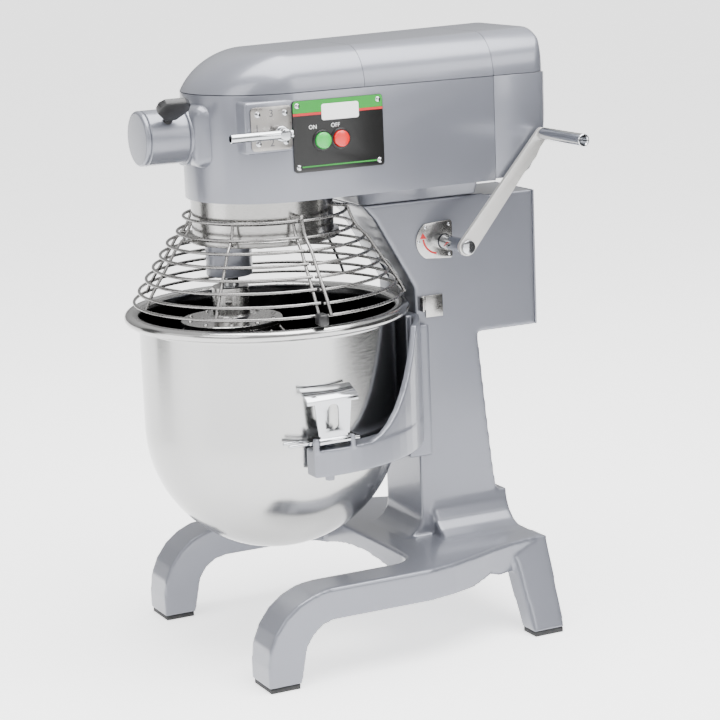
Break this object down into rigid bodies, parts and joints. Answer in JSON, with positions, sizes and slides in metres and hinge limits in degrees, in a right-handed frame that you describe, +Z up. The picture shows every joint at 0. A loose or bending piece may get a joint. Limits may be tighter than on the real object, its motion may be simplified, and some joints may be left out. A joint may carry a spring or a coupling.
{
  "type": "commercial stand mixer",
  "caption": "Bench planetary mixer with a cast column frame, gear head, wire guard, whip, lever-lifted bowl yoke, bowl and clamps.",
  "frame": {"origin": "middle of the footprint, on the bench under the foot pads", "axes": "+Z up, -Y towards the hub and bowl side where the user stands, +X towards the control panel and lift lever"},
  "size_m": [0.404, 0.5386, 0.7594],
  "materials": {
    "silver_paint": "smooth silver-grey metallic enamel over castings",
    "polished_stainless": "polished stainless steel bowl",
    "stainless": "bright stainless wire and sheet",
    "chrome": "bright chrome plate",
    "machined_steel": "machined steel",
    "cast_iron": "dark primed casting",
    "bronze": "machined bronze",
    "rubber": "black moulded rubber",
    "black_plastic": "black satin plastic",
    "green_plastic": "glossy green push button",
    "red_plastic": "glossy red push button"
  },
  "bodies": {
    "frame": {"frame_casting": "silver_paint", "rear_box_cover": "silver_paint", "head_housing": "silver_paint", "motor_housing": "silver_paint", "front_cover": "silver_paint", "top_cover": "silver_paint", "motor_cover": "silver_paint", "attachment_hub": "silver_paint", "hub_cap": "silver_paint", "gear_plate": "stainless", "lift_label_plate": "stainless", "guard_switch_bracket": "stainless", "collar_band": "stainless", "rear_guard": "stainless", "main_bearing": "machined_steel", "ring_gear": "machined_steel", "motor": "cast_iron", "gearbox_bulkhead": "cast_iron", "countershaft_bearing": "bronze", "front_foot_pad_right": "rubber", "front_foot_pad_left": "rubber", "rear_foot_pad_right": "rubber", "rear_foot_pad_left": "rubber", "control_relay": "black_plastic", "control_panel": "black_plastic"},
    "planetary": {"main_shaft": "machined_steel", "planet_carrier": "silver_paint"},
    "spindle": {"spindle_shaft": "machined_steel", "whip_hub": "stainless", "whip_wires": "stainless"},
    "countershaft": {"countershaft": "machined_steel", "reduction_gear": "machined_steel"},
    "motor_rotor": {"motor_pinion_shaft": "machined_steel"},
    "hub_drive": {"hub_drive_shaft": "machined_steel"},
    "hub_screw": {"hub_thumb_screw": "black_plastic"},
    "guard": {"guard_collar": "stainless", "front_guard": "stainless", "guard_knob": "black_plastic"},
    "gear_lever": {"gear_lever": "chrome"},
    "start_button": {"start_button": "green_plastic"},
    "stop_button": {"stop_button": "red_plastic"},
    "lift": {"bowl": "polished_stainless", "bowl_yoke": "silver_paint", "lift_rack": "machined_steel"},
    "clamp_right": {"bowl_clamp_right": "chrome"},
    "clamp_left": {"bowl_clamp_left": "chrome"},
    "lift_lever": {"lift_shaft": "machined_steel", "lift_arm": "chrome"},
    "lift_grip": {"lift_grip": "chrome"}
  },
  "joints": [
    {"name": "planetary_turn", "type": "hinge", "parent": "frame", "child": "planetary", "pos_m": [-0.008, -0.09125, 0.534], "axis": [0, 0, 1], "continuous": true},
    {"name": "spindle_turn", "type": "hinge", "parent": "planetary", "child": "spindle", "pos_m": [-0.01587, -0.13589, 0.5], "axis": [0, 0, 1], "continuous": true},
    {"name": "countershaft_turn", "type": "hinge", "parent": "frame", "child": "countershaft", "pos_m": [-0.008, 0.00875, 0.6554], "axis": [0, 1, 0], "continuous": true},
    {"name": "motor_turn", "type": "hinge", "parent": "frame", "child": "motor_rotor", "pos_m": [-0.039, 0.09875, 0.69514], "axis": [0, 1, 0], "continuous": true},
    {"name": "hub_drive_turn", "type": "hinge", "parent": "frame", "child": "hub_drive", "pos_m": [-0.008, -0.17125, 0.6554], "axis": [0, 1, 0], "continuous": true},
    {"name": "hub_screw_turn", "type": "hinge", "parent": "frame", "child": "hub_screw", "pos_m": [0.01498, -0.22075, 0.67468], "axis": [0.766, 0, 0.6428], "continuous": true},
    {"name": "guard_swing", "type": "hinge", "parent": "frame", "child": "guard", "pos_m": [-0.008, -0.09125, 0.53], "axis": [0, 0, 1], "range_deg": [-110, 0]},
    {"name": "gear_select", "type": "hinge", "parent": "frame", "child": "gear_lever", "pos_m": [0.102, -0.11075, 0.6596], "axis": [1, 0, 0], "range_deg": [-70, 70]},
    {"name": "start_press", "type": "slide", "parent": "frame", "child": "start_button", "axis": [-1, 0, 0], "range_m": [0, 0.003], "stiffness_N_per_m": 500, "springref_m": -0.002},
    {"name": "stop_press", "type": "slide", "parent": "frame", "child": "stop_button", "axis": [-1, 0, 0], "range_m": [0, 0.003], "stiffness_N_per_m": 500, "springref_m": -0.002},
    {"name": "bowl_lift", "type": "slide", "parent": "frame", "child": "lift", "axis": [0, 0, 1], "range_m": [-0.068, 0]},
    {"name": "lift_lever_turn", "type": "hinge", "parent": "frame", "child": "lift_lever", "pos_m": [0.0982, 0.13565, 0.4969], "axis": [1, 0, 0], "range_deg": [0, 97.5]},
    {"name": "grip_spin", "type": "hinge", "parent": "lift_lever", "child": "lift_grip", "pos_m": [0.152, 0.24754, 0.62884], "axis": [1, 0, 0], "continuous": true},
    {"name": "clamp_right_swing", "type": "hinge", "parent": "lift", "child": "clamp_right", "pos_m": [0.1785, -0.09125, 0.2985], "axis": [0, 1, 0], "range_deg": [0, 75]},
    {"name": "clamp_left_swing", "type": "hinge", "parent": "lift", "child": "clamp_left", "pos_m": [-0.1945, -0.09125, 0.2985], "axis": [0, 1, 0], "range_deg": [-75, 0]}
  ],
  "couplings": [
    {"joint": "spindle_turn", "follows": "planetary_turn", "ratio": -3.4286},
    {"joint": "countershaft_turn", "follows": "planetary_turn", "ratio": 2},
    {"joint": "hub_drive_turn", "follows": "planetary_turn", "ratio": -2},
    {"joint": "motor_turn", "follows": "planetary_turn", "ratio": -5},
    {"joint": "lift_lever_turn", "follows": "bowl_lift", "rad_per_m": -25}
  ]
}
